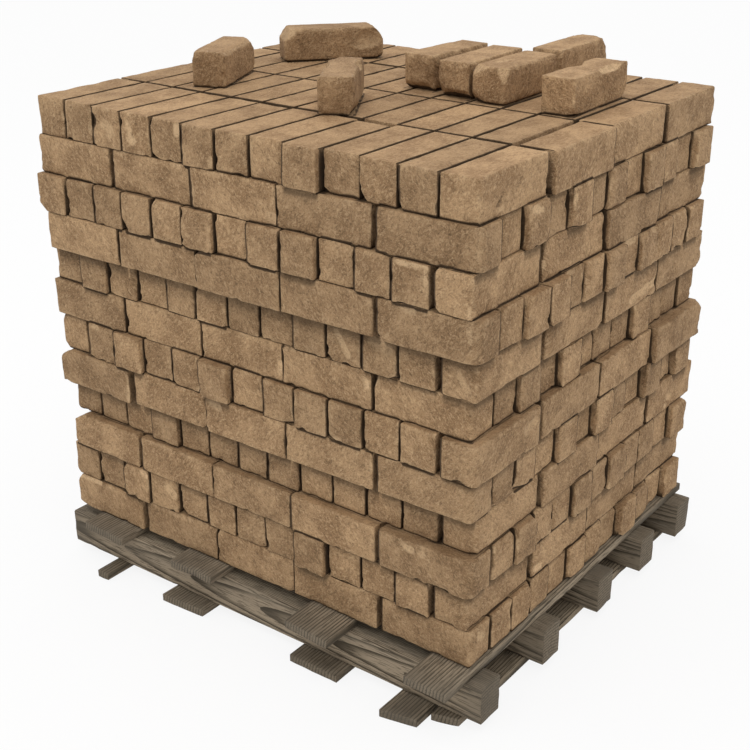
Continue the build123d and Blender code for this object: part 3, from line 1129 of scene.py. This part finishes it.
# %% Saw and wear a plank
PLANK_ARRIS = 0.0018
PLANK_SPACING = 0.016
GRAIN_STRETCH = 0.06
END_SPREAD = 0.55
PLANK_WEAR, FACE_WEAR_SHARE = 0.0016, 0.4
PLANK_ARRIS_REACH = 0.006
FIBRE_WIDTH = 0.006
KNOCK_WIDTH, KNOCK_DEPTH = 0.05, 0.003
KNOCK_RANGE = (0.25, 0.7)
END_WEATHER = 0.09
END_FACING = 0.8
SHARP_ANGLE = math.radians(60)


def plank(node, along, heart, lean, finish, end_heart=None):
    """A worn copy of a plank. The heart says how far its middle lies from the tree's, across and up."""
    chance = random.Random(node)
    low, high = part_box(node)
    middle = (low + high) / 2
    size = high - low
    across = 1 - along
    block = merged_copy(node)
    sharp = [edge for edge in block.edges if edge.calc_face_angle() > SHARP_ANGLE]
    soften(block, sharp, PLANK_ARRIS)
    for axis in range(3):
        cuts = round(size[axis] / PLANK_SPACING) - 1
        if cuts > 0:
            cut_loops(block, runs(block, axis), cuts)
    wood_place = block.verts.layers.float_vector.new("wood_place")
    weathered = block.verts.layers.float.new("weathered")
    block.normal_update()
    seed = Vector([chance.uniform(0, NOISE_SPAN) for axis in range(3)])
    for corner in block.verts:
        co = corner.co - middle
        length = co[along]
        on_end = end_heart is not None and abs(corner.normal[along]) > END_FACING
        middle_of_tree = end_heart if on_end else heart
        aside = co[across] + middle_of_tree[0] + lean * length
        rise = co.z + middle_of_tree[1]
        fibre = Vector((length * GRAIN_STRETCH, co[across], co.z))
        gaps = sorted(size[axis] / 2 - abs(co[axis]) for axis in range(3))
        arris = 1.0 - min(1.0, max(0.0, gaps[1]) / PLANK_ARRIS_REACH)
        rough = 0.5 + 0.5 * noise.noise(fibre / FIBRE_WIDTH + seed)
        knock = smooth_step(*KNOCK_RANGE, noise.noise(co / KNOCK_WIDTH + seed))
        worn = PLANK_WEAR * rough * (FACE_WEAR_SHARE + arris) + KNOCK_DEPTH * knock * arris
        corner.co -= corner.normal * worn
        spread = END_SPREAD if on_end else 1.0
        corner[wood_place] = Vector((length * GRAIN_STRETCH, aside, rise)) * spread + Vector((seed.x, 0, 0))
        to_end = size[along] / 2 - abs(length)
        corner[weathered] = 1.0 - smooth_step(0.0, END_WEATHER, to_end)
    piece = new_piece(f"weathered_{node}", block, finish)
    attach(piece, "root")
    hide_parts(node)
    return piece


print("a plank gets a loop about every", round(PLANK_SPACING / MILLIMETRE), "mm")

# %% [markdown]
# ## The pallet
#
# Where the heart of the tree lies sets the pattern of a plank: arches on the stringers, whose heart is close
# by, and straight lines on the boards, which were sawn far from theirs. A sawn stringer end has its own
# heart below it, so that its rings come out as wide arcs.

# %% Lay the pallet
ALONG_X, ALONG_Y = 0, 1
STRINGER_ASIDE = -0.075
STRINGER_RISE = (-0.02, 0.03)
STRINGER_END_ASIDE, STRINGER_END_RISE = (-0.02, 0.02), 0.16
STRINGER_LEAN, DECK_LEAN, BASE_LEAN = 0.02, 0.01, 0.012
DECK_HEART, BASE_HEART = (0.30, -0.05), (0.25, -0.05)

for node in sorted(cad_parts):
    chance = random.Random("heart " + node)
    if node.startswith("stringer_"):
        heart = (STRINGER_ASIDE, chance.uniform(*STRINGER_RISE))
        end_heart = (chance.uniform(*STRINGER_END_ASIDE), STRINGER_END_RISE)
        piece = plank(node, ALONG_X, heart, STRINGER_LEAN, stringer_timber, end_heart)
    elif node.startswith("deck_board_"):
        piece = plank(node, ALONG_Y, DECK_HEART, DECK_LEAN, board_timber)
    elif node.startswith("base_board_"):
        piece = plank(node, ALONG_Y, BASE_HEART, BASE_LEAN, board_timber)
    else:
        continue
    print(piece.name, len(piece.data.polygons), "faces")

# %% [markdown]
# ## Floor, sky and lamp
#
# The photograph has a plain white ground and soft, even light. The floor and the sky are white only where
# the camera looks straight at them. To the bricks they are pale grey, so the clay keeps its own colour, and
# the floor keeps a faint shadow. One wide lamp above the front makes the top the brightest side.

# %% Floor, sky and lamp
FLOOR_SIZE = 60.0
FLOOR_GAP = 0.0005
FLOOR_PALE = (0.95, 0.95, 0.95, 1)
WHITE = (1, 1, 1, 1)
FLOOR_GLOW = 0.87
SKY_STRENGTH = 0.84
LAMP_PLACE = Vector((0.15, -1.10, 5.40))
LAMP_SIZE = 4.5
LAMP_POWER = 82.0


def seen_directly(tree):
    """1 where the camera sees a surface, straight or in a mirror or through glass."""
    light = add(tree, "ShaderNodeLightPath").outputs
    seen = light["Is Camera Ray"]
    for kind in ("Is Glossy Ray", "Is Transmission Ray"):
        seen = add(tree, "ShaderNodeMath", {0: seen, 1: light[kind]}, operation="MAXIMUM").outputs[0]
    return seen


def floor_finish():
    material, tree, shader = new_finish("pale_floor")
    fill(tree, shader, {"Base Color": FLOOR_PALE, "Roughness": 1.0, "Specular IOR Level": 0.0})
    glow = add(tree, "ShaderNodeEmission", {"Color": WHITE, "Strength": 1.0}).outputs[0]
    share = times(tree, seen_directly(tree), FLOOR_GLOW)
    both = add(tree, "ShaderNodeMixShader", {0: share, 1: shader.outputs[0], 2: glow}).outputs[0]
    fill(tree, tree.nodes["Material Output"], {"Surface": both})
    return material


sheet = bmesh.new()
bmesh.ops.create_grid(sheet, x_segments=1, y_segments=1, size=FLOOR_SIZE / 2)
floor = new_piece("floor", sheet, floor_finish())
floor.location.z = cad_low.z - FLOOR_GAP

world = bpy.data.worlds.new("white_sky")
scene.world = world
world.use_nodes = True
sky = world.node_tree
plain_sky = sky.nodes["Background"]
fill(sky, plain_sky, {"Color": WHITE, "Strength": SKY_STRENGTH})
white_sky = add(sky, "ShaderNodeBackground", {"Color": WHITE, "Strength": 1.0}).outputs[0]
either = add(sky, "ShaderNodeMixShader", {0: seen_directly(sky), 1: plain_sky.outputs[0], 2: white_sky})
fill(sky, sky.nodes["World Output"], {"Surface": either.outputs[0]})

lamp_data = bpy.data.lights.new("soft_lamp", "AREA")
lamp_data.size = LAMP_SIZE
lamp_data.energy = LAMP_POWER
towards_stack = (cad_low + cad_high) / 2 - LAMP_PLACE
placed(lamp_data, LAMP_PLACE, towards_stack)
scene.view_settings.view_transform = "Standard"
print("lamp", round(towards_stack.length, 2), "m from the stack's middle")
